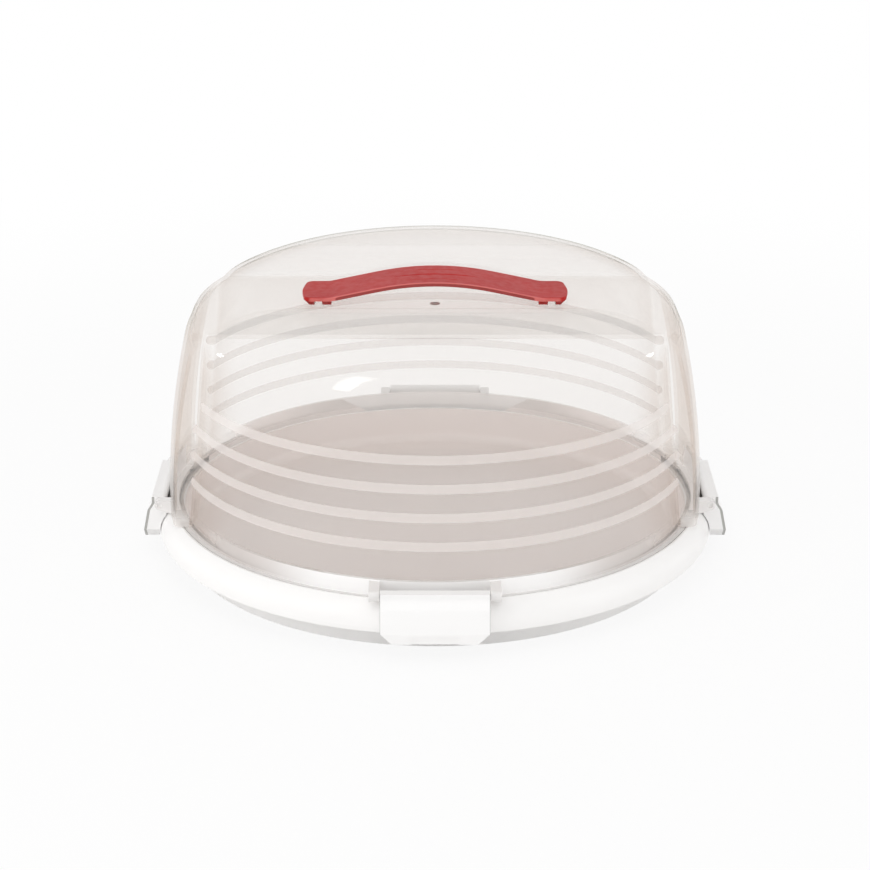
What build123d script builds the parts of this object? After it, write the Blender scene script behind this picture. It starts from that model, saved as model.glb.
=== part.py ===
from build123d import *
from math import asin, atan, cos, pi, radians, sin, sqrt
import os

# Round cake carrier: a tray, a clear lid with a carrying handle, and four clip latches.
# Millimetres. Origin: centre of the tray's foot ring, on the surface it stands on.
# +Z up, -Y is the front, and the handle runs along X.

# ---------------------------------------------------------------- overall sizes
RIM_RADIUS = 170.0           # outer radius of the tray's skirt
RIM_TOP = 31.6               # top of the tray
LID_TOP = 171.4              # top of the round lobes in front of and behind the handle
BITE = 0.5                   # how far a feature runs into the wall it grows from

# ---------------------------------------------------------------- tray
RIM_WIDTH = 9.2              # from the skirt's outside to the inside of the lip
RIM_DEPTH = 17.3             # from the top of the lip to the skirt's lower edge
LIP_WIDTH = 1.2              # upstanding lip around the lid's flange
LEDGE_DEPTH = 2.3            # ledge that the lid stands on, below the top of the lip
SKIRT_STRAIGHT = 3.0         # upright part of the skirt, at its lower edge
SKIRT_EDGE_ROUND = 1.0       # its rounded lower edge
SKIRT_BULGE = 0.72           # where the curve's middle lies: share of the way out
SKIRT_FALL = 0.36            # and share of the way down
FOOT_INSET = 16.0            # foot ring inside the skirt
FOOT_HEIGHT = 5.0            # floor's underside above the table
FLOOR_THICKNESS = 2.5
FLOOR_ROUND = 6.0            # hollow between the floor and the wall inside
TRAY_WALL = 2.4
TRAY_LEAN = 1.6              # how far the tray wall leans out over its height
UNDER_RIBS = 12
UNDER_RIB_WIDTH = 1.8
UNDER_RIB_LIFT = 1.5         # ribs' lower edge above the table
UNDER_HUB_RADIUS = 45.0

# ---------------------------------------------------------------- lid
LID_WALL = 2.0
LID_GAP = 3.1                # from the lip's inside to the lid's round wall
LID_TAPER = 0.09             # inward lean of the round wall, mm per mm of height
LID_CORNER = 21.0            # radius where the wall turns in
LID_CROWN = 67.0             # radius of the crown, from the corner to the level top
CROWN_SLOPE = 36.5           # degrees, where the corner gives way to the crown
FLANGE_CLEARANCE = 0.5       # between the lid's flange and the lip
VALLEY_DEPTH = 18.4          # top of the broad band under the handle, below the lobes
VALLEY_HALF = 58.0           # half the band's width, front to back
VALLEY_DRAFT = 5.0           # how far each valley wall leans back over its height
VALLEY_ROUND = 5.0           # rounding at the top of the valley walls
BAND_STEP = 5.0              # the band's side walls stand out beyond the round wall
BAND_LIFT = 0.5              # lower end of the band's side walls above the lip
BAND_FOOT_PLATE = 2.2        # thickness of the step at their foot
BAND_UPRIGHT = 4.0           # upright part of the side walls above the ledge
BAND_SIDE_RADIUS = 455.0     # curve of the side walls, seen from the front
BAND_PLAN_RADIUS = 240.0     # curve of the side walls, seen from above
BAND_SHOULDER = 19.0         # radius where the side walls turn in
BAND_CORNER = 4.0            # rounding of the band's long edges
GATE_RADIUS = 3.0            # moulding mark in the middle of the valley
GATE_HEIGHT = 0.5

# ---------------------------------------------------------------- latches
LATCH_WIDTH = 61.0
LATCH_WALL = 2.3
LATCH_END_WALL = 2.0         # walls that close the latch's two ends
LATCH_TOP_OUT = 2.0          # outer face at the hinge, beyond the skirt
LATCH_BOTTOM_OUT = 7.6       # outer face at the finger edge, beyond the skirt
LATCH_KNEE_OUT = 4.9         # outer face where the plate bends, beyond the skirt
LATCH_TOP_BEND = 0.9         # first bend below the pivot
LATCH_KNEE_BEND = 5.4        # second bend below the pivot
LATCH_FINGER_EDGE = 6.0      # height of the upright finger edge
LATCH_BEND_ROUND = 5.0
LATCH_DROP = 2.0             # finger edge below the skirt's lower edge
LATCH_CORNER = 6.4           # cut-off lower corners
LATCH_PIVOT_LIFT = 5.3       # pivot above the top of the tray
LATCH_BARREL = 3.1           # radius of the hinge barrel
CATCH_TOP = 2.2              # catch's upper face above the finger edge's end, at its tip
CATCH_RISE = 3.0             # how much higher that face is at its root
CATCH_LIP = 0.8              # catch's lower face above the finger edge's end, at its tip
CATCH_CLEARANCE = 0.35       # catch to rim
CATCH_HALF = 22.0            # half the catch's length
LATCH_LUG_RADIUS = 3.1       # rounded end of the lid's lugs beside each latch
LATCH_LUG_WIDTH = 6.0
LUG_CLEARANCE = 0.3          # between each lug and the latch's end
FINGER_NOTCH_HALF = 13.0
FINGER_NOTCH_HEIGHT = 4.5
FINGER_NOTCH_DEPTH = 0.7

# ---------------------------------------------------------------- handle
HANDLE_LENGTH = 160.0
HANDLE_WIDTH = 37.0
HANDLE_END_WIDTH = 35.0
HANDLE_RISE = 19.0           # top of the arch above the valley floor
HANDLE_THICKNESS = 2.2
HANDLE_EDGE_ROUND = 0.8
PAD_RISE = 9.4               # top of the level ends above the valley floor
PAD_LENGTH = 14.0            # level part at each end
PAD_BLEND = 30.0             # radius between a pad and the flank beside it
FLANK_LENGTH = 26.0          # straight part between each blend and the arch
WAIST_LENGTH = 8.0           # where the grip narrows to the pad's width
HANDLE_END_BULGE = 2.5       # how far each end swells beyond its corners
HANDLE_END_ROUND = 5.0       # those corners, seen from above
HANDLE_TIP_ROUND = 40.0      # and the middle of each end
RIDGE_RADIUS = 1.0           # the fine ridges along the grip
RIDGE_HALF = 30.0            # half the middle ridge's length
RIDGE_SPACING = 9.8          # from the middle ridge to the one on each side
RIDGE_HEIGHT = 0.3
RIDGE_SIDE_HEIGHT = 0.15
HANDLE_PIVOT_RISE = 4.0      # pivot above the valley floor
EAR_DROP = 3.2               # square foot of each ear below the pivot
EAR_FOOT_HALF = 3.5          # half the foot's length
EAR_FOOT_ROUND = 0.5
EAR_TOP_HALF = 13.0          # half the ear's length under the strap
EAR_BITE = 0.8               # ear's top edge above the strap's underside
EAR_SIDE_GAP = 0.3           # between each lug and the ears beside it
OUTER_EAR = 3.0              # thickness of the ear nearest the handle's end, at its foot
OUTER_EAR_ROOT = 6.6         # and where it meets the strap
INNER_EAR = 5.4
HANDLE_LUG_WIDTH = 4.2
HANDLE_LUG_INSET = 10.0      # middle of each lug from the handle's end
HANDLE_LUG_RADIUS = 2.7
HANDLE_LUG_FOOT = 5.5        # half the lug's length along the valley floor

# ---------------------------------------------------------------- pins
PIN_RADIUS = 1.5
PIN_RUNNING_FIT = 0.08       # radial, where a piece turns on its pin
PIN_SEAT_FIT = 0.02          # radial, where a lug holds its pin
PIN_RECESS = 0.8             # pin ends inside the faces they come out of

# ---------------------------------------------------------------- derived
RIM_BOTTOM = RIM_TOP - RIM_DEPTH
LIP_RADIUS = RIM_RADIUS - RIM_WIDTH
LIP_OUTSIDE = LIP_RADIUS + LIP_WIDTH
SKIRT_CURVE_LOW = RIM_BOTTOM + SKIRT_STRAIGHT
SKIRT_CURVE_MIDDLE = (
    LIP_OUTSIDE + SKIRT_BULGE * (RIM_RADIUS - LIP_OUTSIDE), RIM_TOP - SKIRT_FALL * RIM_DEPTH)
LEDGE = RIM_TOP - LEDGE_DEPTH
FOOT_RADIUS = RIM_RADIUS - FOOT_INSET
FLOOR_TOP = FOOT_HEIGHT + FLOOR_THICKNESS
LID_RADIUS = LIP_RADIUS - LID_GAP
FLANGE_RADIUS = LIP_RADIUS - FLANGE_CLEARANCE
VALLEY_FLOOR = LID_TOP - VALLEY_DEPTH
BAND_FOOT = RIM_TOP + BAND_LIFT
BAND_REACH = LID_RADIUS + BAND_STEP
LATCH_TOP_REACH = RIM_RADIUS + LATCH_TOP_OUT
LATCH_BOTTOM_REACH = RIM_RADIUS + LATCH_BOTTOM_OUT
LATCH_BOTTOM = RIM_BOTTOM - LATCH_DROP
LATCH_PIVOT_HEIGHT = RIM_TOP + LATCH_PIVOT_LIFT
LATCH_PIVOT_REACH = LATCH_TOP_REACH - LATCH_WALL - LATCH_BARREL
LATCH_TOP = LATCH_PIVOT_HEIGHT + LATCH_BARREL
LATCH_LUG_INSIDE = LATCH_WIDTH / 2 + LUG_CLEARANCE
LATCH_LUG_OUTSIDE = LATCH_LUG_INSIDE + LATCH_LUG_WIDTH
HANDLE_TOP = VALLEY_FLOOR + HANDLE_RISE
PAD_TOP = VALLEY_FLOOR + PAD_RISE
PAD_START = HANDLE_LENGTH / 2 - PAD_LENGTH
HANDLE_PIVOT = VALLEY_FLOOR + HANDLE_PIVOT_RISE
HANDLE_LUG_MIDDLE = HANDLE_LENGTH / 2 - HANDLE_LUG_INSET
ARCH_DROP = HANDLE_RISE - PAD_RISE
# the arch, the straight flanks and the blends touch one another, so both follow from the drop and the lengths
ARCH_RADIUS = (PAD_START ** 2 + ARCH_DROP ** 2 - FLANK_LENGTH ** 2) / (2 * ARCH_DROP) - PAD_BLEND
FLANK_SLOPE = 2 * atan(ARCH_DROP / (PAD_START + FLANK_LENGTH))
SIDES = {"right": 0, "back": 90, "left": 180, "front": 270}


def box_between(x, y, z):
    """A box given by its two ends along each axis."""
    size = [b - a for a, b in (x, y, z)]
    middle = [(a + b) / 2 for a, b in (x, y, z)]
    return Pos(*middle) * Box(*size)


def around(centre, radius, angle):
    """The point of a circle at an angle in radians."""
    return centre[0] + radius * cos(angle), centre[1] + radius * sin(angle)


def near(places, reach):
    """A test for the corners that lie within reach of any of the places."""
    return lambda v: any(abs(v.X - x) < reach and abs(v.Y - y) < reach for x, y in places)


# ---------------------------------------------------------------- tray
def tray_section():
    """The tray's cross-section, right of the axis."""
    inside = FOOT_RADIUS - TRAY_WALL
    under_ledge = LEDGE - TRAY_WALL
    skirt_inside = RIM_RADIUS - TRAY_WALL
    # the same share of the wall, outwards and down, keeps the skirt's wall even round the curve
    step_in = SKIRT_BULGE * TRAY_WALL
    inner_middle = (SKIRT_CURVE_MIDDLE[0] - step_in, SKIRT_CURVE_MIDDLE[1] - step_in)
    edge_centre = (RIM_RADIUS - SKIRT_EDGE_ROUND, RIM_BOTTOM + SKIRT_EDGE_ROUND)
    with BuildLine(Plane.XZ) as outline:
        Polyline(
            (0, FLOOR_TOP), (0, FOOT_HEIGHT), (inside, FOOT_HEIGHT), (inside, 0), (FOOT_RADIUS, 0),
            (FOOT_RADIUS + TRAY_LEAN, under_ledge), (LIP_OUTSIDE - BITE, under_ledge))
        ThreePointArc((LIP_OUTSIDE - BITE, under_ledge), inner_middle, (skirt_inside, SKIRT_CURVE_LOW))
        Polyline(
            (skirt_inside, SKIRT_CURVE_LOW), (skirt_inside, RIM_BOTTOM), (edge_centre[0], RIM_BOTTOM))
        ThreePointArc(
            (edge_centre[0], RIM_BOTTOM), around(edge_centre, SKIRT_EDGE_ROUND, -pi / 4),
            (RIM_RADIUS, edge_centre[1]))
        Line((RIM_RADIUS, edge_centre[1]), (RIM_RADIUS, SKIRT_CURVE_LOW))
        ThreePointArc((RIM_RADIUS, SKIRT_CURVE_LOW), SKIRT_CURVE_MIDDLE, (LIP_OUTSIDE, RIM_TOP))
        Polyline(
            (LIP_OUTSIDE, RIM_TOP), (LIP_RADIUS, RIM_TOP), (LIP_RADIUS, LEDGE), (inside + TRAY_LEAN, LEDGE),
            (inside, FLOOR_TOP), (0, FLOOR_TOP))
    section = make_face(outline.line)
    floor_corner = section.vertices().sort_by_distance((inside, 0, FLOOR_TOP))[0]
    return fillet(floor_corner, FLOOR_ROUND)


def under_ribs():
    """Radial stiffeners and a hub ring below the tray's floor."""
    height = (UNDER_RIB_LIFT, FOOT_HEIGHT + BITE)
    half = UNDER_RIB_WIDTH / 2
    spoke = box_between((UNDER_HUB_RADIUS, FOOT_RADIUS - TRAY_WALL + BITE), (-half, half), height)
    hub = Cylinder(UNDER_HUB_RADIUS + half, height[1] - height[0])
    hub -= Cylinder(UNDER_HUB_RADIUS - half, height[1] - height[0])
    spokes = [Rot(0, 0, turn * 360 / UNDER_RIBS) * spoke for turn in range(UNDER_RIBS)]
    return spokes + [Pos(0, 0, sum(height) / 2) * hub]


def make_tray():
    tray = revolve(tray_section(), Axis.Z)
    for piece in under_ribs():
        tray += piece
    return tray


# ---------------------------------------------------------------- lid
def round_body(inset, foot):
    """The lid's round body, drawn in by inset all over, from the height foot upwards."""
    top = LID_TOP - inset
    corner = LID_CORNER - inset
    crown = LID_CROWN - inset
    lean = atan(LID_TAPER)
    slope = radians(CROWN_SLOPE)

    def wall(height):
        return LID_RADIUS - LID_TAPER * (height - LEDGE) - inset

    # the crown arc ends level at the top; the corner arc touches the crown arc and the wall
    corner_height = top - crown * (1 - cos(slope)) - corner * cos(slope)
    wall_end = corner_height + corner * sin(lean)
    corner_centre = (wall(wall_end) - corner * cos(lean), corner_height)
    crown_centre = (corner_centre[0] + (corner - crown) * sin(slope), top - crown)
    meet = pi / 2 - slope
    with BuildLine(Plane.XZ) as outline:
        Polyline((0, top), (0, foot), (wall(foot), foot), (wall(wall_end), wall_end))
        ThreePointArc(
            (wall(wall_end), wall_end), around(corner_centre, corner, (lean + meet) / 2),
            around(corner_centre, corner, meet))
        ThreePointArc(
            around(corner_centre, corner, meet), around(crown_centre, crown, (meet + pi / 2) / 2),
            (crown_centre[0], top))
        Line((crown_centre[0], top), (0, top))
    return revolve(make_face(outline.line), Axis.Z)


def valley_cut(inset):
    """What the valley removes: level floor, leaning walls, and rounded upper edges."""
    floor = VALLEY_FLOOR - inset
    top = LID_TOP - inset
    low = VALLEY_HALF + inset
    high = low + VALLEY_DRAFT
    beyond = high + LID_CROWN
    with BuildSketch(Plane.YZ) as sketch:
        with BuildLine():
            Polyline(
                (-beyond, LID_TOP + BITE), (-beyond, top), (-high, top), (-low, floor), (low, floor),
                (high, top), (beyond, top), (beyond, LID_TOP + BITE), close=True)
        make_face()
        fillet(sketch.vertices().filter_by(near([(-high, top), (high, top)], BITE / 2)), VALLEY_ROUND)
    return extrude(sketch.sketch, 2 * RIM_RADIUS, both=True)


def band_body(inset, foot):
    """The broad band that runs over the lid from side to side, drawn in by inset."""
    top = VALLEY_FLOOR - inset
    reach = BAND_REACH - inset
    side = BAND_SIDE_RADIUS - inset
    shoulder = BAND_SHOULDER - inset
    upright = LEDGE + BAND_UPRIGHT
    axis_at = BAND_REACH - BAND_PLAN_RADIUS
    side_centre = (reach - side, upright)
    # the shoulder arc touches the curved side from inside, and the level top
    tilt = asin((top - shoulder - upright) / (side - shoulder))
    touch = around(side_centre, side, tilt)
    shoulder_centre = around(side_centre, side - shoulder, tilt)
    with BuildLine(Plane.XZ) as outline:
        Polyline((axis_at, top), (axis_at, 0), (reach, 0), (reach, upright))
        ThreePointArc((reach, upright), around(side_centre, side, tilt / 2), touch)
        ThreePointArc(
            touch, around(shoulder_centre, shoulder, (tilt + pi / 2) / 2), (shoulder_centre[0], top))
        Line((shoulder_centre[0], top), (axis_at, top))
    half = revolve(make_face(outline.line), Axis((axis_at, 0, 0), (0, 0, 1)))
    slab = box_between(
        (-BAND_PLAN_RADIUS, BAND_PLAN_RADIUS), (-VALLEY_HALF + inset, VALLEY_HALF - inset), (foot, top))
    return half & mirror(half, Plane.YZ) & slab


def round_long_edges(band):
    """Round the band's long edges, over the top and down the side walls."""
    lowest = band.bounding_box().min.Z + BITE
    long_edges = band.edges().filter_by(
        lambda e: all(abs(abs((e @ part).Y) - VALLEY_HALF) < 0.01 for part in (0, 0.5, 1))
        and (e @ 0.5).Z > lowest)
    return fillet(long_edges, BAND_CORNER)


def latch_lug():
    """The clear hinge lug at one end of the right-hand latch."""
    pivot = (LATCH_PIVOT_REACH, LATCH_PIVOT_HEIGHT)
    top = pivot[1] + LATCH_LUG_RADIUS
    # the inner end starts inside the hollow, which trims it to the wall
    root = sqrt((LID_RADIUS - LID_WALL) ** 2 - LATCH_LUG_OUTSIDE ** 2) - LID_WALL
    flange = sqrt(FLANGE_RADIUS ** 2 - LATCH_LUG_OUTSIDE ** 2) - FLANGE_CLEARANCE
    with BuildSketch(Plane.XZ) as sketch:
        with BuildLine():
            Polyline(
                (root, RIM_TOP - BITE), (flange, RIM_TOP - BITE), (flange, BAND_FOOT),
                (LIP_OUTSIDE, BAND_FOOT), (pivot[0], pivot[1] - LATCH_LUG_RADIUS), pivot, (pivot[0], top),
                (root, top), close=True)
        make_face()
        with Locations(pivot):
            Circle(LATCH_LUG_RADIUS)
    return Pos(0, -LATCH_LUG_INSIDE, 0) * extrude(sketch.sketch, LATCH_LUG_WIDTH)


def latch_axis_rod(radius, half_length):
    """A rod along the right-hand latch's hinge axis."""
    return Pos(LATCH_PIVOT_REACH, 0, LATCH_PIVOT_HEIGHT) * Rot(90, 0, 0) * Cylinder(radius, 2 * half_length)


def handle_lug():
    """One clear lug on the valley floor, in the handle's middle plane."""
    root = VALLEY_FLOOR - LID_WALL / 2
    with BuildSketch(Plane.YZ) as sketch:
        with BuildLine():
            Polyline(
                (-HANDLE_LUG_FOOT, root), (HANDLE_LUG_FOOT, root), (HANDLE_LUG_RADIUS, HANDLE_PIVOT),
                (-HANDLE_LUG_RADIUS, HANDLE_PIVOT), close=True)
        make_face()
        with Locations((0, HANDLE_PIVOT)):
            Circle(HANDLE_LUG_RADIUS)
    return extrude(sketch.sketch, HANDLE_LUG_WIDTH / 2, both=True)


def handle_axis_rod(radius, low, high):
    """A rod along the handle's hinge axis, between two distances from the middle."""
    return Pos((low + high) / 2, 0, HANDLE_PIVOT) * Rot(0, 90, 0) * Cylinder(radius, high - low)


def make_lid():
    lid = round_body(0, LEDGE) - valley_cut(0) + round_long_edges(band_body(0, BAND_FOOT))
    lid += extrude(Plane.XY.offset(LEDGE) * Circle(FLANGE_RADIUS), LEDGE_DEPTH)
    lug = latch_lug()
    for angle in SIDES.values():
        lid += Rot(0, 0, angle) * lug
        lid += Rot(0, 0, angle) * mirror(lug, Plane.XZ)
    for end in (-1, 1):
        lid += Pos(end * HANDLE_LUG_MIDDLE, 0, 0) * handle_lug()
    lid += Pos(0, 0, VALLEY_FLOOR) * Cylinder(GATE_RADIUS, 2 * GATE_HEIGHT)
    hollow = round_body(LID_WALL, LEDGE - BITE) - valley_cut(LID_WALL)
    hollow += band_body(LID_WALL, BAND_FOOT + BAND_FOOT_PLATE)
    lid -= hollow
    seat = PIN_RADIUS + PIN_SEAT_FIT
    for angle in SIDES.values():
        lid -= Rot(0, 0, angle) * latch_axis_rod(seat, LATCH_LUG_OUTSIDE + BITE)
    for turn in (0, 180):
        lid -= Rot(0, 0, turn) * handle_axis_rod(
            seat, HANDLE_LUG_MIDDLE - HANDLE_LUG_WIDTH, HANDLE_LUG_MIDDLE + HANDLE_LUG_WIDTH)
    return lid


# ---------------------------------------------------------------- latches
def latch_face(inset):
    """Corners of the latch's outer face seen from the end, top to bottom, drawn in by inset."""
    corners = [
        (LATCH_TOP_REACH, LATCH_TOP), (LATCH_TOP_REACH, LATCH_PIVOT_HEIGHT - LATCH_TOP_BEND),
        (RIM_RADIUS + LATCH_KNEE_OUT, LATCH_PIVOT_HEIGHT - LATCH_KNEE_BEND),
        (LATCH_BOTTOM_REACH, LATCH_BOTTOM + LATCH_FINGER_EDGE), (LATCH_BOTTOM_REACH, LATCH_BOTTOM)]
    return [(reach - inset, height) for reach, height in corners]


def latch_plate():
    """The latch's bent plate."""
    outer = latch_face(0)
    inner = latch_face(LATCH_WALL)[::-1]
    with BuildSketch(Plane.XZ) as sketch:
        with BuildLine():
            Polyline(*outer, *inner, close=True)
        make_face()
        for bend in outer[1:-1] + inner[1:-1]:
            fillet(sketch.vertices().sort_by_distance(bend)[0], LATCH_BEND_ROUND)
    return extrude(sketch.sketch, LATCH_WIDTH / 2, both=True)


def latch_barrel():
    """The hinge barrel and the web that joins it to the plate."""
    half = LATCH_WIDTH / 2
    plate_inside = LATCH_TOP_REACH - LATCH_WALL + BITE
    height = (LATCH_PIVOT_HEIGHT - LATCH_BARREL, LATCH_TOP)
    web = box_between((LATCH_PIVOT_REACH, plate_inside), (-half, half), height)
    return latch_axis_rod(LATCH_BARREL, half) + web


def cut_corners(body, half, cut):
    """A latch body of this half width with its two lower corners cut off."""
    for side in (-1, 1):
        corner = Plane.YZ * make_face(Polyline(
            (side * half, LATCH_BOTTOM), (side * (half - cut), LATCH_BOTTOM),
            (side * half, LATCH_BOTTOM + cut), close=True))
        body -= extrude(corner, 2 * RIM_RADIUS, both=True)
    return body


def rim_envelope():
    """The tray's rim grown by the catch's clearance, and everything inside it."""
    reach = RIM_RADIUS + CATCH_CLEARANCE
    top = RIM_TOP + CATCH_CLEARANCE
    middle = (SKIRT_CURVE_MIDDLE[0] + CATCH_CLEARANCE, SKIRT_CURVE_MIDDLE[1] + CATCH_CLEARANCE)
    with BuildLine(Plane.XZ) as outline:
        Polyline((LIP_OUTSIDE, top), (0, top), (0, 0), (reach, 0), (reach, SKIRT_CURVE_LOW))
        ThreePointArc((reach, SKIRT_CURVE_LOW), middle, (LIP_OUTSIDE, top))
    return revolve(make_face(outline.line), Axis.Z)


def latch_block(half, cut):
    """Everything between the middle of the latch's plate and the inner side of its barrel."""
    inside = LATCH_PIVOT_REACH - LATCH_BARREL
    outline = Plane.XZ * make_face(Polyline(
        *latch_face(LATCH_WALL / 2), (inside, LATCH_BOTTOM), (inside, LATCH_PIVOT_HEIGHT),
        (LATCH_PIVOT_REACH, LATCH_TOP), close=True))
    return cut_corners(extrude(outline, half, both=True), half, cut)


def latch_ends():
    """The walls that close the latch's ends, down to the tray's rim and along the cut-off corners."""
    half = LATCH_WIDTH / 2
    # the same wall thickness across the cut-off corners
    inner_cut = LATCH_CORNER + LATCH_END_WALL * (sqrt(2) - 1)
    walls = latch_block(half, LATCH_CORNER) - latch_block(half - LATCH_END_WALL, inner_cut)
    return walls - rim_envelope()


def latch_catch():
    """The ridge inside the finger edge; its tip follows the rim."""
    root = LATCH_BOTTOM_REACH - LATCH_WALL + BITE
    tip = LIP_OUTSIDE
    ridge = Plane.XZ * make_face(Polyline(
        (root, LATCH_BOTTOM), (root, LATCH_BOTTOM + CATCH_TOP + CATCH_RISE), (tip, LATCH_BOTTOM + CATCH_TOP),
        (tip, LATCH_BOTTOM + CATCH_LIP), close=True))
    return extrude(ridge, CATCH_HALF, both=True) - Cylinder(RIM_RADIUS + CATCH_CLEARANCE, 2 * LID_TOP)


def make_latch():
    """The right-hand latch, closed."""
    half = LATCH_WIDTH / 2
    latch = latch_plate() + latch_barrel() + latch_ends() + latch_catch()
    latch -= latch_axis_rod(PIN_RADIUS + PIN_RUNNING_FIT, half + BITE)
    latch = cut_corners(latch, half, LATCH_CORNER)
    latch -= box_between(
        (LATCH_BOTTOM_REACH - FINGER_NOTCH_DEPTH, LATCH_BOTTOM_REACH + BITE),
        (-FINGER_NOTCH_HALF, FINGER_NOTCH_HALF), (LATCH_BOTTOM - BITE, LATCH_BOTTOM + FINGER_NOTCH_HEIGHT))
    return latch


# ---------------------------------------------------------------- handle
def handle_path():
    """The strap's top line: level pads, concave blends, straight flanks, and the arch."""
    end = HANDLE_LENGTH / 2
    arch = (0, HANDLE_TOP - ARCH_RADIUS)
    blend = (PAD_START, PAD_TOP + PAD_BLEND)
    arch_end = around(arch, ARCH_RADIUS, pi / 2 - FLANK_SLOPE)
    blend_start = around(blend, PAD_BLEND, -pi / 2 - FLANK_SLOPE)
    blend_middle = around(blend, PAD_BLEND, -pi / 2 - FLANK_SLOPE / 2)

    def left(point):
        return -point[0], point[1]

    with BuildLine(Plane.XZ) as path:
        Line((-end, PAD_TOP), (-PAD_START, PAD_TOP))
        ThreePointArc((-PAD_START, PAD_TOP), left(blend_middle), left(blend_start))
        Line(left(blend_start), left(arch_end))
        ThreePointArc(left(arch_end), (0, HANDLE_TOP), arch_end)
        Line(arch_end, blend_start)
        ThreePointArc(blend_start, blend_middle, (PAD_START, PAD_TOP))
        Line((PAD_START, PAD_TOP), (end, PAD_TOP))
    return path.line


def handle_outline():
    """The handle seen from above: broad grip, slightly narrower rounded ends."""
    end = HANDLE_LENGTH / 2
    waist = PAD_START - WAIST_LENGTH
    wide = HANDLE_WIDTH / 2
    narrow = HANDLE_END_WIDTH / 2
    corner = end - HANDLE_END_BULGE
    quarter = [(corner, narrow), (PAD_START, narrow), (waist, wide)]
    with BuildSketch() as sketch:
        with BuildLine():
            Polyline(
                (end, 0), *quarter, *[(-x, y) for x, y in reversed(quarter)], (-end, 0),
                *[(-x, -y) for x, y in quarter], *[(x, -y) for x, y in reversed(quarter)], close=True)
        make_face()
        fillet(sketch.vertices().filter_by(near([(-end, 0), (end, 0)], BITE)), HANDLE_TIP_ROUND)
        for x, radius in ((corner, HANDLE_END_ROUND), (PAD_START, PAD_BLEND), (waist, PAD_BLEND)):
            places = [(side * x, y) for side in (-1, 1) for y in (-narrow, narrow, -wide, wide)]
            fillet(sketch.vertices().filter_by(near(places, BITE / 2)), radius)
    return sketch.sketch


def strap():
    """The bent strap, with its upper edge rounded all the way round."""
    start = Plane.YZ.offset(-HANDLE_LENGTH / 2) * Pos(0, PAD_TOP - HANDLE_THICKNESS / 2)
    section = start * Rectangle(2 * HANDLE_WIDTH, HANDLE_THICKNESS)
    shape = sweep(section, handle_path()) & extrude(handle_outline(), 2 * HANDLE_TOP)
    upper = shape.faces().filter_by(lambda f: f.normal_at().Z > 0.5).edges()
    across = upper.filter_by(Axis.Y)
    return fillet(upper - across, HANDLE_EDGE_ROUND)


def grip_ridge(offset, height):
    """A fine ridge along the grip, sinking into the strap at both ends."""
    radius = ARCH_RADIUS - RIDGE_RADIUS
    half = RIDGE_HALF * sqrt(height / RIDGE_HEIGHT)
    sunk = around((0, HANDLE_TOP - ARCH_RADIUS), radius, pi / 2 - asin(half / radius))
    with BuildLine(Plane.XZ.offset(-offset)) as path:
        ThreePointArc((-sunk[0], sunk[1]), (0, HANDLE_TOP - RIDGE_RADIUS + height), sunk)
    start = Plane(origin=path.line @ 0, z_dir=path.line % 0)
    return sweep(start * Circle(RIDGE_RADIUS), path.line)


def ear(low, high, root):
    """One ear: its foot from low to high, measured from the handle's middle, its top from low to root."""
    top = PAD_TOP - HANDLE_THICKNESS + EAR_BITE
    foot = HANDLE_PIVOT - EAR_DROP
    with BuildSketch(Plane.YZ) as sketch:
        with BuildLine():
            Polyline(
                (-EAR_TOP_HALF, top), (-EAR_FOOT_HALF, foot), (EAR_FOOT_HALF, foot), (EAR_TOP_HALF, top),
                close=True)
        make_face()
        fillet(sketch.vertices().sort_by(Axis.Z)[:2], EAR_FOOT_ROUND)
    side = Plane.XZ * make_face(Polyline((low, foot), (high, foot), (root, top), (low, top), close=True))
    return extrude(sketch.sketch, HANDLE_LENGTH) & extrude(side, EAR_TOP_HALF, both=True)


def ear_places():
    """Faces of the inner and the outer ear, as distances from the middle of the handle."""
    half_gap = HANDLE_LUG_WIDTH / 2 + EAR_SIDE_GAP
    inner = HANDLE_LUG_MIDDLE - half_gap
    outer = HANDLE_LUG_MIDDLE + half_gap
    return (inner - INNER_EAR, inner, inner), (outer, outer + OUTER_EAR, outer + OUTER_EAR_ROOT)


def make_handle():
    handle = strap() + grip_ridge(0, RIDGE_HEIGHT)
    for side in (-1, 1):
        handle += grip_ridge(side * RIDGE_SPACING, RIDGE_SIDE_HEIGHT)
    inner, outer = ear_places()
    bore = handle_axis_rod(PIN_RADIUS + PIN_RUNNING_FIT, inner[0] - BITE, HANDLE_LENGTH / 2)
    under_strap = extrude(handle_outline(), 2 * HANDLE_TOP)
    for turn in (0, 180):
        for faces in (inner, outer):
            handle += Rot(0, 0, turn) * (ear(*faces) & under_strap)
        handle -= Rot(0, 0, turn) * bore
    return handle


def make_handle_pin():
    """The right-hand handle pin."""
    inner, outer = ear_places()
    return handle_axis_rod(PIN_RADIUS, inner[0] + PIN_RECESS, outer[1] - PIN_RECESS)


# ---------------------------------------------------------------- write every piece
def write(name, solid):
    export_step(solid, f"parts/{name}.step")
    print(name, round(solid.volume), len(solid.solids()))


os.makedirs("parts", exist_ok=True)
write("base_tray", make_tray())
write("dome_lid", make_lid())
latch = make_latch()
latch_pin = latch_axis_rod(PIN_RADIUS, LATCH_LUG_OUTSIDE - PIN_RECESS)
for side, angle in SIDES.items():
    write(f"latch_{side}", Rot(0, 0, angle) * latch)
    write(f"latch_pin_{side}", Rot(0, 0, angle) * latch_pin)
write("carry_handle", make_handle())
handle_pin = make_handle_pin()
write("handle_pin_right", handle_pin)
write("handle_pin_left", Rot(0, 0, 180) * handle_pin)
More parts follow.
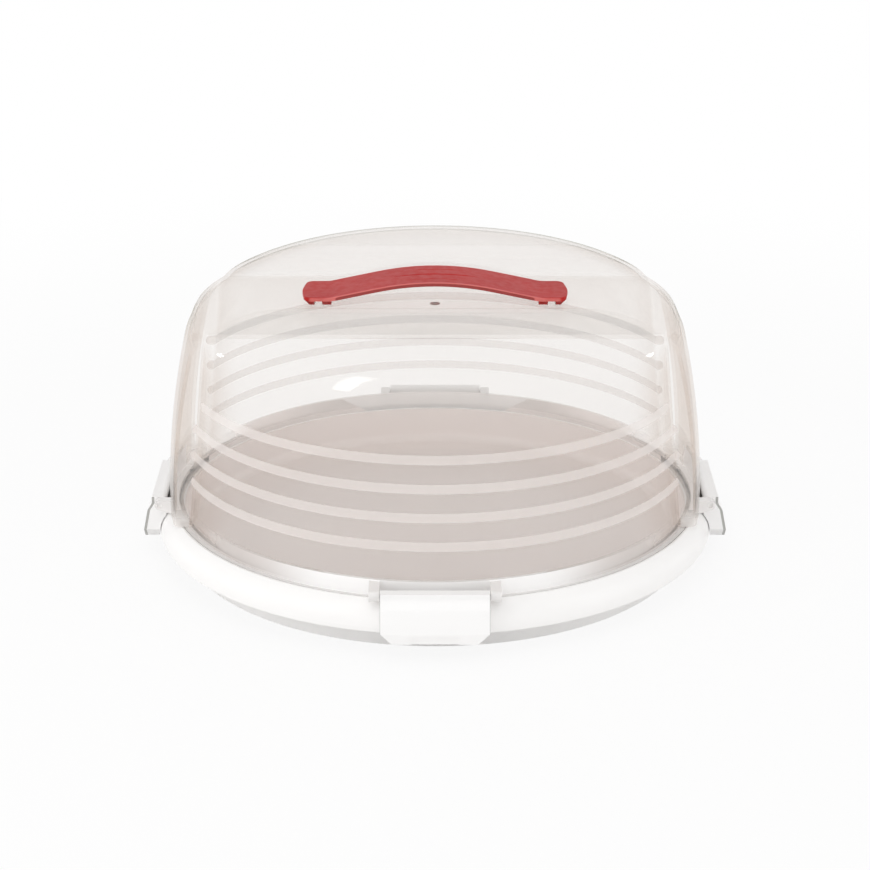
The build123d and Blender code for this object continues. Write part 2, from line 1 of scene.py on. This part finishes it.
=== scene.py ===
import bpy
from math import cos, radians, sin
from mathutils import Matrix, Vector

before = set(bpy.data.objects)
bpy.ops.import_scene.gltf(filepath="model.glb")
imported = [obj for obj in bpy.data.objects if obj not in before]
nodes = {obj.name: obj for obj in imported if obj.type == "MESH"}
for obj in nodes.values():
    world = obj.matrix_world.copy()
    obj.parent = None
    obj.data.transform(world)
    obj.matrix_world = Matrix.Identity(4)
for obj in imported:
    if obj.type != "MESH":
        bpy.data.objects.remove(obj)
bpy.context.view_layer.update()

# ---------------------------------------------------------------- sizes, in metres
# A pair is where a zone begins and where it is full.
VALLEY_HALF = 0.058          # half the width of the lid's middle band and its valley
VALLEY_FLOOR = 0.153
LID_RADIUS = 0.1577          # at the ledge
LEDGE = 0.0293
LID_TAPER = 0.09             # how far the lobes lean in for each unit of height
OUTER_FACE = (-0.0011, -0.0009)
LOBE_SKIN = (-0.0030, -0.0026)
STRIPE_FIRST = 0.06105       # height of the lowest frosted stripe's middle
STRIPE_PITCH = 0.01664
STRIPE_COUNT = 4
STRIPE_HALF = 0.0028
STRIPE_END = 0.1447          # how far the stripes reach to either side
STRIPE_SHORTER = 0.008       # and how much less the upper ones do at the front
STRIPE_SHORT_FROM = (0.085, 0.112)
WALL_MIDDLE = 0.1522         # middle of the tray's wall, at the table, and its lean
WALL_LEAN = 0.0734
TRAY_FLOOR = (0.0085, 0.0120)        # height where the floor's colour gives way to the wall's
TRAY_EDGE = (0.115, 0.150)           # the floor's lighter ring, from the axis
COLLAR_TOP = 0.0408          # frosted zone at the lid's foot
COLLAR_HALF = 0.046          # half its pale part at each latch, at the ledge
COLLAR_SPREAD = 1.5          # and how fast that part widens with height
PALE_OUTSIDE = (0.120, 0.060)        # its pale part on the outer face, across
SEAM = (0.0345, 0.0325)              # the strip behind the ledge
FLANGE_INSIDE = 0.1574       # the lid's foot flange
FLANGE_TOP = 0.0318
LUG_TOP = 0.048              # and the lugs above it
LUG_END = 0.0372
BAND_FOOT = (0.030, 0.048)           # the middle band's foot
ROOF = (0.135, 0.150)                # the middle band's milky top
ROOF_INSIDE = (0.1524, 0.1516)
ROOF_END = (0.140, 0.135)
CROWN = (0.110, 0.165)
VALLEY_WALL_IN = (0.0530, 0.0545)
VALLEY_WALL_OUT = (0.0620, 0.0600)
MARK_RADIUS = (0.0032, 0.0029)       # the moulding mark on the valley floor
LATCH_LOWER = (0.0183, 0.0315, 0.1776, 0.1749)    # the latch plate's outer face: heights, and reach there
LATCH_UPPER = (0.0315, 0.0360, 0.0, -0.0029)      # and how much further in above that
LATCH_LINE = 0.0016          # the dark line along the plate's ends
LATCH_END = 0.0303
LATCH_CORNER_CUT = 0.0117
HANDLE_HALF = 0.0185         # half the handle's width

# ---------------------------------------------------------------- how milky the lid is, 0 clear to 1 opaque
HAZE_ALL = 0.035
HAZE_CLOUD = 0.006
HAZE_CROWN = (0.055, 0.100)          # front, back
HAZE_ROOF = 0.11
HAZE_STRIPE = (0.36, 0.50)           # back, front
HAZE_FOOT_SHADE = (0.60, 0.10)            # near the middle, at the sides
HAZE_SEAM = 0.80
HAZE_PALE = (0.60, 0.92)             # inner face, outer face
HAZE_LUG = 0.80
HAZE_BAND_FOOT = 0.45
HAZE_FLANGE = 0.75
VALLEY_WALL_SHARE = 0.2              # what is left of the haze there
ROOF_INSIDE_SHARE = 0.3

# ---------------------------------------------------------------- colours
LID_CLEAR = (0.991, 0.986, 0.981, 1)
LID_STEEP = (0.78, 0.70, 0.64, 1)
LID_OUTLINE = (0.72, 0.71, 0.67, 1)
LID_OUTLINE_GLOSS = (0.70, 0.69, 0.65, 1)
LID_MILK = (0.94, 0.92, 0.905, 1)
# the lid's frosted foot: pale on its outer face and at each latch as painted light, taupe inside as painted shade
LID_FOOT_PALE_LIT = (0.985, 0.975, 0.965, 1)
LID_FOOT_SHADE_DARK = (0.72, 0.67, 0.64, 1)
LID_FOOT_SHADE_LIGHT = (0.95, 0.89, 0.86, 1)
LID_STRIPE = (0.86, 0.80, 0.765, 1)
LID_MARK = (0.38, 0.30, 0.25, 1)
TRAY_RIM = ((0.930, 0.918, 0.905, 1), (0.920, 0.908, 0.895, 1))
# painted shade: the tray's floor and inner wall, darker and warmer than the rim for the shade under the lid
TRAY_INSIDE_SHADE = ((0.735, 0.672, 0.640, 1), (0.720, 0.656, 0.626, 1))
TRAY_INSIDE_EDGE_SHADE = (0.90, 0.84, 0.81, 1)
TRAY_INSIDE_WALL_SHADE = (0.83, 0.765, 0.735, 1)
LATCH_WHITE = ((0.929, 0.921, 0.911, 1), (0.925, 0.917, 0.907, 1))
# painted shade: the dark line along the latch plates' ends
LATCH_SHADE_DARK = (0.42, 0.42, 0.40, 1)
PIN_PALE = ((0.90, 0.885, 0.87, 1), (0.87, 0.855, 0.84, 1))
HANDLE_RED = ((0.46, 0.020, 0.018, 1), (0.43, 0.017, 0.016, 1))
# painted shade on the handle's side face and painted highlight on its rounded corner
HANDLE_SIDE_SHADE = (0.34, 0.060, 0.056, 1)
HANDLE_CORNER_HIGHLIGHT = (0.80, 0.26, 0.24, 1)
STUDIO_FLOOR = ((0.93, 0.925, 0.92, 1), (0.91, 0.905, 0.90, 1))
PLASTIC_IOR = 1.49


# ---------------------------------------------------------------- node helpers
class Tree:
    """Small helpers for building one material."""

    def __init__(self, name):
        self.mat = bpy.data.materials.new(name)
        self.mat.use_nodes = True
        self.nt = self.mat.node_tree
        self.nt.nodes.clear()
        self.out = self.nt.nodes.new("ShaderNodeOutputMaterial")

    def node(self, kind, **settings):
        n = self.nt.nodes.new(kind)
        for key, value in settings.items():
            setattr(n, key, value)
        return n

    def feed(self, socket, value):
        if isinstance(value, bpy.types.NodeSocket):
            self.nt.links.new(value, socket)
        elif value is not None:
            socket.default_value = value

    def math(self, operation, a, b=None, c=None, clamp=False):
        n = self.node("ShaderNodeMath", operation=operation, use_clamp=clamp)
        for socket, value in zip(n.inputs, (a, b, c)):
            self.feed(socket, value)
        return n.outputs[0]

    def ramp(self, value, low, high, to_low=0.0, to_high=1.0, smooth=True):
        """value mapped from low..high to to_low..to_high, held outside."""
        n = self.node("ShaderNodeMapRange", interpolation_type="SMOOTHSTEP" if smooth else "LINEAR")
        self.feed(n.inputs["Value"], value)
        for key, number in (("From Min", low), ("From Max", high), ("To Min", to_low), ("To Max", to_high)):
            n.inputs[key].default_value = number
        return n.outputs["Result"]

    def mix(self, factor, a, b):
        """Two colours mixed."""
        n = self.node("ShaderNodeMix", data_type="RGBA")
        self.feed(n.inputs[0], factor)
        self.feed(n.inputs[6], a)
        self.feed(n.inputs[7], b)
        return n.outputs[2]

    def blend(self, factor, a, b):
        """Two shaders mixed."""
        n = self.node("ShaderNodeMixShader")
        self.feed(n.inputs[0], factor)
        self.nt.links.new(a, n.inputs[1])
        self.nt.links.new(b, n.inputs[2])
        return n.outputs[0]

    def place(self):
        """x, y, z and distance from the axis, in the part's own frame."""
        xyz = self.node("ShaderNodeSeparateXYZ")
        self.nt.links.new(self.node("ShaderNodeTexCoord").outputs["Object"], xyz.inputs[0])
        x, y, z = xyz.outputs
        squares = self.math("ADD", self.math("MULTIPLY", x, x), self.math("MULTIPLY", y, y))
        return x, y, z, self.math("SQRT", squares)

    def noise(self, scale, detail=2.0, roughness=0.5):
        """Noise in the part's own frame, about 0.3 to 0.7."""
        n = self.node("ShaderNodeTexNoise")
        self.nt.links.new(self.node("ShaderNodeTexCoord").outputs["Object"], n.inputs["Vector"])
        n.inputs["Scale"].default_value = scale
        n.inputs["Detail"].default_value = detail
        n.inputs["Roughness"].default_value = roughness
        return n.outputs[0]

    def bump(self, height, strength, distance):
        n = self.node("ShaderNodeBump")
        n.inputs["Strength"].default_value = strength
        n.inputs["Distance"].default_value = distance
        self.nt.links.new(height, n.inputs["Height"])
        return n.outputs[0]

    def principled(self, color, roughness, normal=None, **sockets):
        n = self.node("ShaderNodeBsdfPrincipled")
        self.feed(n.inputs["Base Color"], color)
        self.feed(n.inputs["Roughness"], roughness)
        if normal is not None:
            self.nt.links.new(normal, n.inputs["Normal"])
        for key, value in sockets.items():
            self.feed(n.inputs[key.replace("_", " ")], value)
        return n.outputs[0]

    def finish(self, shader):
        self.nt.links.new(shader, self.out.inputs["Surface"])
        return self.mat

    def times(self, *factors):
        """Product of two or more masks."""
        product = factors[0]
        for factor in factors[1:]:
            product = self.math("MULTIPLY", product, factor)
        return product

    def most(self, *values):
        """The largest of two or more masks."""
        largest = values[0]
        for value in values[1:]:
            largest = self.math("MAXIMUM", largest, value)
        return largest

    def rest(self, mask):
        """One minus a mask."""
        return self.math("SUBTRACT", 1.0, mask)

    def moulded(self, colors, scale, detail=0.0, roughness=0.5, spread=(0.3, 0.7)):
        """Two close shades in faint clouds."""
        return self.mix(self.ramp(self.noise(scale, detail, roughness), *spread), *colors)


def pin_plastic():
    """Glossy moulded plastic with faint waviness and fine variation."""
    t = Tree("pin_plastic")
    color = t.moulded(PIN_PALE, 60.0)
    waves = t.bump(t.noise(30.0, 0.0), 0.02, 0.001)
    rough = t.ramp(t.noise(240.0, 0.0), 0.3, 0.7, 0.28, 0.31)
    return t.finish(t.principled(color, rough, waves, IOR=PLASTIC_IOR))


def latch_plastic():
    """White plastic, with a dark line along each end of the outer plate, as in the photograph."""
    t = Tree("latch_plastic")
    x, y, z, _ = t.place()
    x = t.math("ABSOLUTE", x)
    y = t.math("ABSOLUTE", y)
    out = t.math("MAXIMUM", x, y)
    side = t.math("MINIMUM", x, y)
    # the plate's outer face: upright but leaning below, then drawn in faster above
    face = t.math("ADD", t.ramp(z, *LATCH_LOWER, smooth=False), t.ramp(z, *LATCH_UPPER, smooth=False))
    # painted shade: a dark line along each end of the plate's outer face, where its edge turns from the light
    near = t.math("GREATER_THAN", t.math("SUBTRACT", out, face), -LATCH_LINE)
    at_end = t.math("GREATER_THAN", side, LATCH_END)
    at_corner = t.math("GREATER_THAN", t.math("SUBTRACT", side, z), LATCH_CORNER_CUT)
    shade_line = t.times(near, t.most(at_end, at_corner))
    color = t.mix(shade_line, t.moulded(LATCH_WHITE, 30.0), LATCH_SHADE_DARK)
    rough = t.ramp(t.noise(120.0, 0.0), 0.3, 0.7, 0.28, 0.31)
    waves = t.bump(t.noise(15.0, 0.0), 0.02, 0.001)
    return t.finish(t.principled(color, rough, waves, IOR=PLASTIC_IOR))


def tray_plastic():
    """White tray; its floor and inner wall are painted a little warmer and darker than the rim, as shade under
    the lid.
    """
    t = Tree("tray_plastic")
    _, _, z, r = t.place()
    leaning = t.math("SUBTRACT", r, t.math("MULTIPLY", z, WALL_LEAN))
    inside = t.times(t.ramp(leaning, WALL_MIDDLE + 0.0001, WALL_MIDDLE - 0.0001), t.ramp(z, 0.0060, 0.0070))
    cloud = t.ramp(t.noise(9.0, 3.0), 0.3, 0.7)
    rim = t.mix(cloud, *TRAY_RIM)
    # painted shade under the lid on the floor and inner wall, eased into a lighter ring near the rim
    floor = t.mix(cloud, *TRAY_INSIDE_SHADE)
    floor = t.mix(t.ramp(r, *TRAY_EDGE, 0.0, 0.35), floor, TRAY_INSIDE_EDGE_SHADE)
    floor = t.mix(t.ramp(z, *TRAY_FLOOR), floor, TRAY_INSIDE_WALL_SHADE)
    rough = t.ramp(t.noise(60.0, 2.0), 0.3, 0.7, 0.28, 0.36)
    waves = t.bump(t.noise(14.0, 0.0), 0.02, 0.001)
    return t.finish(t.principled(t.mix(inside, rim, floor), rough, waves, IOR=PLASTIC_IOR))


def lid_stripes(t, z, y, across, lobe):
    """Mask of the frosted stripes: capsules around the lobes' outer face."""
    turn = t.math("DIVIDE", t.math("SUBTRACT", z, STRIPE_FIRST), STRIPE_PITCH)
    nearest = t.math("MINIMUM", t.math("MAXIMUM", t.math("ROUND", turn), 0.0), STRIPE_COUNT - 1.0)
    rise = t.math("MULTIPLY", t.math("SUBTRACT", turn, nearest), STRIPE_PITCH)
    shorter = t.times(t.ramp(z, *STRIPE_SHORT_FROM, 0.0, STRIPE_SHORTER), t.ramp(y, 0.001, -0.001))
    beyond = t.math("SUBTRACT", t.math("ADD", across, shorter), STRIPE_END - STRIPE_HALF)
    beyond = t.math("MAXIMUM", beyond, 0.0)
    off = t.math("SQRT", t.math("ADD", t.times(rise, rise), t.times(beyond, beyond)))
    return t.times(t.ramp(off, STRIPE_HALF + 0.0002, STRIPE_HALF - 0.0003), lobe)


def lid_foot(t, z, across, depth, outer_face, on_lobe):
    """Masks of the frosted foot and of its pale part, painted light, and the foot's haze."""
    foot = t.times(t.ramp(z, COLLAR_TOP + 0.0003, COLLAR_TOP - 0.0003), on_lobe, t.ramp(depth, 0.0005, 0.0003))
    spread = t.math("SUBTRACT", across, t.math("MULTIPLY", t.math("SUBTRACT", z, LEDGE), COLLAR_SPREAD))
    pale_inside = t.ramp(spread, COLLAR_HALF + 0.0015, COLLAR_HALF - 0.0015)
    pale_outside = t.times(outer_face, t.ramp(across, *PALE_OUTSIDE))
    pale = t.math("ADD", pale_outside, t.times(t.rest(outer_face), pale_inside))
    dark_haze = t.most(t.ramp(across, 0.115, 0.140, *HAZE_FOOT_SHADE), t.ramp(z, *SEAM, 0.0, HAZE_SEAM))
    pale_haze = t.ramp(outer_face, 0.0, 1.0, *HAZE_PALE)
    haze = t.math("MULTIPLY_ADD", pale, t.math("SUBTRACT", pale_haze, dark_haze), dark_haze)
    return foot, pale, t.times(foot, haze)


def lid_lugs(t, z, across, along, depth):
    """Haze of the lugs beside the latches and, less so, of the middle band's foot."""
    lug = t.ramp(t.math("MINIMUM", across, along), LUG_END, LUG_END + 0.0002, HAZE_LUG, 0.0)
    lug = t.times(lug, t.ramp(z, LUG_TOP + 0.0005, LUG_TOP))
    lug = t.most(lug, t.ramp(z, *BAND_FOOT, HAZE_BAND_FOOT, 0.0))
    return t.times(lug, t.ramp(depth, 0.0003, 0.0006))


def lid_plastic():
    """Clear plastic: four frosted stripes on the lobes, a frosted foot and a milky middle band."""
    t = Tree("lid_plastic")
    x, y, z, r = t.place()
    across = t.math("ABSOLUTE", x)
    along = t.math("ABSOLUTE", y)
    # how far outside the lobes' wall, and which face of it
    wall = t.math("SUBTRACT", LID_RADIUS + LID_TAPER * LEDGE, t.math("MULTIPLY", z, LID_TAPER))
    depth = t.math("SUBTRACT", r, wall)
    outer_face = t.ramp(depth, *OUTER_FACE)
    on_lobe = t.times(t.ramp(along, VALLEY_HALF - 0.003, VALLEY_HALF - 0.002), t.ramp(depth, *LOBE_SKIN))
    stripe = lid_stripes(t, z, y, across, t.times(outer_face, on_lobe))
    foot, pale, foot_haze = lid_foot(t, z, across, depth, outer_face, on_lobe)
    # the flange that sits on the tray is pale all round
    flange = t.times(t.ramp(r, FLANGE_INSIDE, FLANGE_INSIDE + 0.0003), t.ramp(z, FLANGE_TOP + 0.0002, FLANGE_TOP))
    # the middle band, and its milky roof
    band = t.ramp(along, VALLEY_HALF + 0.0005, VALLEY_HALF - 0.0005)
    roof = t.times(band, t.ramp(z, *ROOF))
    cloud = t.ramp(t.noise(9.0, 3.0), 0.3, 0.7, -HAZE_CLOUD, HAZE_CLOUD)
    crown = t.times(t.ramp(z, *CROWN), t.ramp(y, -0.060, 0.060, *HAZE_CROWN))
    haze = t.math("ADD", t.math("ADD", crown, HAZE_ALL), cloud)
    haze = t.most(haze, t.times(roof, HAZE_ROOF))
    # the valley's own walls are clearer, and so is the roof's inner face
    valley_wall = t.times(t.ramp(along, *VALLEY_WALL_IN), t.ramp(along, *VALLEY_WALL_OUT),
                          t.ramp(z, VALLEY_FLOOR, VALLEY_FLOOR + 0.0015))
    haze = t.times(haze, t.ramp(valley_wall, 0.0, 1.0, 1.0, VALLEY_WALL_SHARE))
    roof_inside = t.times(t.ramp(z, *ROOF_INSIDE), t.ramp(across, *ROOF_END), band)
    haze = t.times(haze, t.ramp(roof_inside, 0.0, 1.0, 1.0, ROOF_INSIDE_SHARE))
    haze = t.most(haze, t.times(stripe, t.ramp(y, 0.020, -0.020, *HAZE_STRIPE)), foot_haze,
                  lid_lugs(t, z, across, along, depth))
    haze = t.math("MAXIMUM", haze, t.times(flange, HAZE_FLANGE), clamp=True)
    # the clear part: darker where the wall is seen at a slant, grey along the roof's outline
    facing = t.node("ShaderNodeLayerWeight")
    facing.inputs["Blend"].default_value = 0.5
    facing = facing.outputs["Facing"]
    steep = t.times(t.ramp(facing, 0.40, 1.02), t.ramp(z, 0.128, 0.150, 1.0, 0.30))
    outline = t.times(t.ramp(facing, 0.80, 0.97), t.ramp(z, 0.130, 0.155))
    clear = t.node("ShaderNodeBsdfTransparent")
    t.feed(clear.inputs["Color"], t.mix(outline, t.mix(steep, LID_CLEAR, LID_STEEP), LID_OUTLINE))
    # the milky part: pale, taupe or stripe-coloured by zone; on the foot the pale is painted light and the taupe
    # painted shade
    foot_shade = t.times(foot, t.rest(pale), t.rest(flange))
    # at the back, the foot's painted shade is lighter towards the sides and the bottom
    lighter = t.most(t.ramp(across, 0.050, 0.110), t.ramp(z, 0.0390, 0.0300))
    lighter = t.times(lighter, t.ramp(y, -0.030, 0.030))
    milk_color = t.mix(t.times(foot, pale), LID_MILK, LID_FOOT_PALE_LIT)
    milk_color = t.mix(foot_shade, milk_color, t.mix(lighter, LID_FOOT_SHADE_DARK, LID_FOOT_SHADE_LIGHT))
    milk_color = t.mix(stripe, milk_color, LID_STRIPE)
    waves = t.bump(t.noise(22.0, 1.0), 0.05, 0.001)
    milk = t.principled(milk_color, 0.35, waves, IOR=PLASTIC_IOR)
    mark = t.times(t.ramp(z, VALLEY_FLOOR + 0.0002, VALLEY_FLOOR + 0.0003), t.ramp(r, *MARK_RADIUS))
    body = t.blend(mark, t.blend(haze, clear.outputs[0], milk), t.principled(LID_MARK, 0.4))
    # reflection by angle, the same on both faces of the thin wall, and weak and rough on the milky roof
    gloss = t.node("ShaderNodeBsdfGlossy")
    t.feed(gloss.inputs["Color"], t.mix(outline, (1, 1, 1, 1), LID_OUTLINE_GLOSS))
    t.feed(gloss.inputs["Roughness"], t.ramp(roof, 0.0, 1.0, 0.04, 0.45))
    t.feed(gloss.inputs["Normal"], waves)
    mirror = t.math("MULTIPLY_ADD", t.math("POWER", facing, 5.0), 0.80, 0.035)
    mirror = t.times(mirror, t.ramp(roof, 0.0, 1.0, 1.0, 0.3))
    return t.finish(t.blend(mirror, body, gloss.outputs[0]))


def handle_plastic():
    """Matt red plastic with a painted pale highlight on the rounded corner and a duller side of painted shade
    along both long edges.
    """
    t = Tree("handle_plastic")
    color = t.moulded(HANDLE_RED, 30.0, 4.0, 0.6, (0.35, 0.65))
    along = t.math("ABSOLUTE", t.place()[1])
    # painted shade on the side face along each long edge, and a painted highlight on the rounded corner above it
    side = t.ramp(along, HANDLE_HALF - 0.0002, HANDLE_HALF - 0.0001)
    corner_highlight = t.times(t.ramp(along, HANDLE_HALF - 0.0016, HANDLE_HALF - 0.0008), t.rest(side), 0.6)
    color = t.mix(side, color, HANDLE_SIDE_SHADE)
    color = t.mix(corner_highlight, color, HANDLE_CORNER_HIGHLIGHT)
    rough = t.ramp(t.noise(240.0, 2.0), 0.3, 0.7, 0.36, 0.46)
    grain = t.bump(t.noise(900.0, 2.0), 0.1, 0.0003)
    return t.finish(t.principled(color, rough, grain, IOR=PLASTIC_IOR, Specular_IOR_Level=0.15))


def dress(node, material):
    """Give a CAD node its material."""
    obj = nodes[node]
    obj.data.materials.clear()
    obj.data.materials.append(material)


dress("base_tray", tray_plastic())
dress("dome_lid", lid_plastic())
dress("carry_handle", handle_plastic())
latch_white = latch_plastic()
pin_pale = pin_plastic()
for side in ("right", "back", "left", "front"):
    dress(f"latch_{side}", latch_white)
    dress(f"latch_pin_{side}", pin_pale)
for side in ("right", "left"):
    dress(f"handle_pin_{side}", pin_pale)

# ---------------------------------------------------------------- floor and world
WHITE = 1.0                  # strength that shows as plain white
WHITE_RAYS = ("Is Camera Ray", "Is Glossy Ray", "Is Transmission Ray")
WORLD_LIGHT = 0.62
FLOOR_FADE = (0.35, 0.90)    # from the axis: how far out the floor shows its shadow
FLOOR_SHARE = (0.87, 1.0)    # and how much of it is plain white there


def seen_as_white(t, shader, share):
    """What the camera, gloss and clear pieces see of the surroundings: mostly plain white."""
    white = t.node("ShaderNodeEmission")
    white.inputs["Color"].default_value = (1, 1, 1, 1)
    white.inputs["Strength"].default_value = WHITE
    path = t.node("ShaderNodeLightPath")
    seen = t.most(*(path.outputs[ray] for ray in WHITE_RAYS))
    return t.blend(t.times(seen, share), shader, white.outputs[0])


def make_floor():
    """Pale floor with a faint shadow."""
    bpy.ops.mesh.primitive_plane_add(size=12.0, location=(0, 0, -0.0002))
    floor = bpy.context.object
    floor.name = "studio_floor"
    t = Tree("studio_floor")
    tone = t.moulded(STUDIO_FLOOR, 1.5, 2.0)
    share = t.ramp(t.place()[3], *FLOOR_FADE, *FLOOR_SHARE)
    floor.data.materials.append(t.finish(seen_as_white(t, t.principled(tone, 0.6), share)))


def make_world():
    """Even soft light, seen as white."""
    world = bpy.data.worlds.new("studio")
    bpy.context.scene.world = world
    world.use_nodes = True
    nt = world.node_tree
    nt.nodes.clear()
    path = nt.nodes.new("ShaderNodeLightPath")
    seen = path.outputs[WHITE_RAYS[0]]
    for kind in WHITE_RAYS[1:]:
        either = nt.nodes.new("ShaderNodeMath")
        either.operation = "MAXIMUM"
        nt.links.new(seen, either.inputs[0])
        nt.links.new(path.outputs[kind], either.inputs[1])
        seen = either.outputs[0]
    lit = nt.nodes.new("ShaderNodeBackground")
    lit.inputs["Color"].default_value = (0.99, 0.992, 1.0, 1)
    lit.inputs["Strength"].default_value = WORLD_LIGHT
    white = nt.nodes.new("ShaderNodeBackground")
    white.inputs["Color"].default_value = (1, 1, 1, 1)
    white.inputs["Strength"].default_value = WHITE
    mix = nt.nodes.new("ShaderNodeMixShader")
    nt.links.new(seen, mix.inputs[0])
    nt.links.new(lit.outputs[0], mix.inputs[1])
    nt.links.new(white.outputs[0], mix.inputs[2])
    out = nt.nodes.new("ShaderNodeOutputWorld")
    nt.links.new(mix.outputs[0], out.inputs["Surface"])


def lamp(name, place, target, size, power, glossy=True):
    """A rectangular area lamp aimed at a point."""
    data = bpy.data.lights.new(name, "AREA")
    data.shape = "RECTANGLE"
    data.size, data.size_y = size
    data.energy = power
    obj = bpy.data.objects.new(name, data)
    bpy.context.scene.collection.objects.link(obj)
    obj.location = place
    obj.visible_glossy = glossy
    obj.rotation_euler = (Vector(target) - Vector(place)).to_track_quat("-Z", "Y").to_euler()


make_floor()
make_world()
lamp("key_above", (0.0, -0.8, 1.7), (0, 0, 0.08), (1.8, 1.4), 5.8, glossy=False)
lamp("front_fill", (0.0, -2.4, 0.9), (0, 0, 0.08), (2.4, 1.4), 5.0, glossy=False)
lamp("fill_left", (-1.5, -0.6, 0.4), (0, 0, 0.08), (0.7, 1.1), 5.5, glossy=False)
lamp("fill_right", (1.5, -0.6, 0.4), (0, 0, 0.08), (0.7, 1.1), 5.5, glossy=False)
lamp("fill_back", (0.0, 1.9, 0.9), (0, 0, 0.08), (2.0, 1.2), 2.5, glossy=False)
lamp("tall_softbox", (-0.88, -1.02, 0.95), (0, 0, 0.10), (0.24, 1.3), 2.4)
lamp("glint_left", (-1.40, 0.52, 0.12), (0, 0, 0.12), (0.10, 0.10), 0.30)
lamp("glint_right", (1.40, 0.52, 0.12), (0, 0, 0.12), (0.10, 0.10), 0.30)

# ---------------------------------------------------------------- camera
CAMERA_DISTANCE = 1.44015
CAMERA_DOWN = 0.3644         # radians below level
CAMERA_AIM = 0.06868         # height it looks at
CAMERA_LENS = 96.92
camera_data = bpy.data.cameras.new("camera")
camera_data.sensor_width = 36.0
camera_data.lens = CAMERA_LENS
camera = bpy.data.objects.new("camera", camera_data)
bpy.context.scene.collection.objects.link(camera)
aim = Vector((0, 0, CAMERA_AIM))
camera.location = aim + CAMERA_DISTANCE * Vector((0, -cos(CAMERA_DOWN), sin(CAMERA_DOWN)))
camera.rotation_euler = (radians(90) - CAMERA_DOWN, 0, 0)
camera_data.clip_start = 0.05
camera_data.clip_end = 50.0
bpy.context.scene.camera = camera

bpy.context.scene.view_settings.view_transform = "Standard"
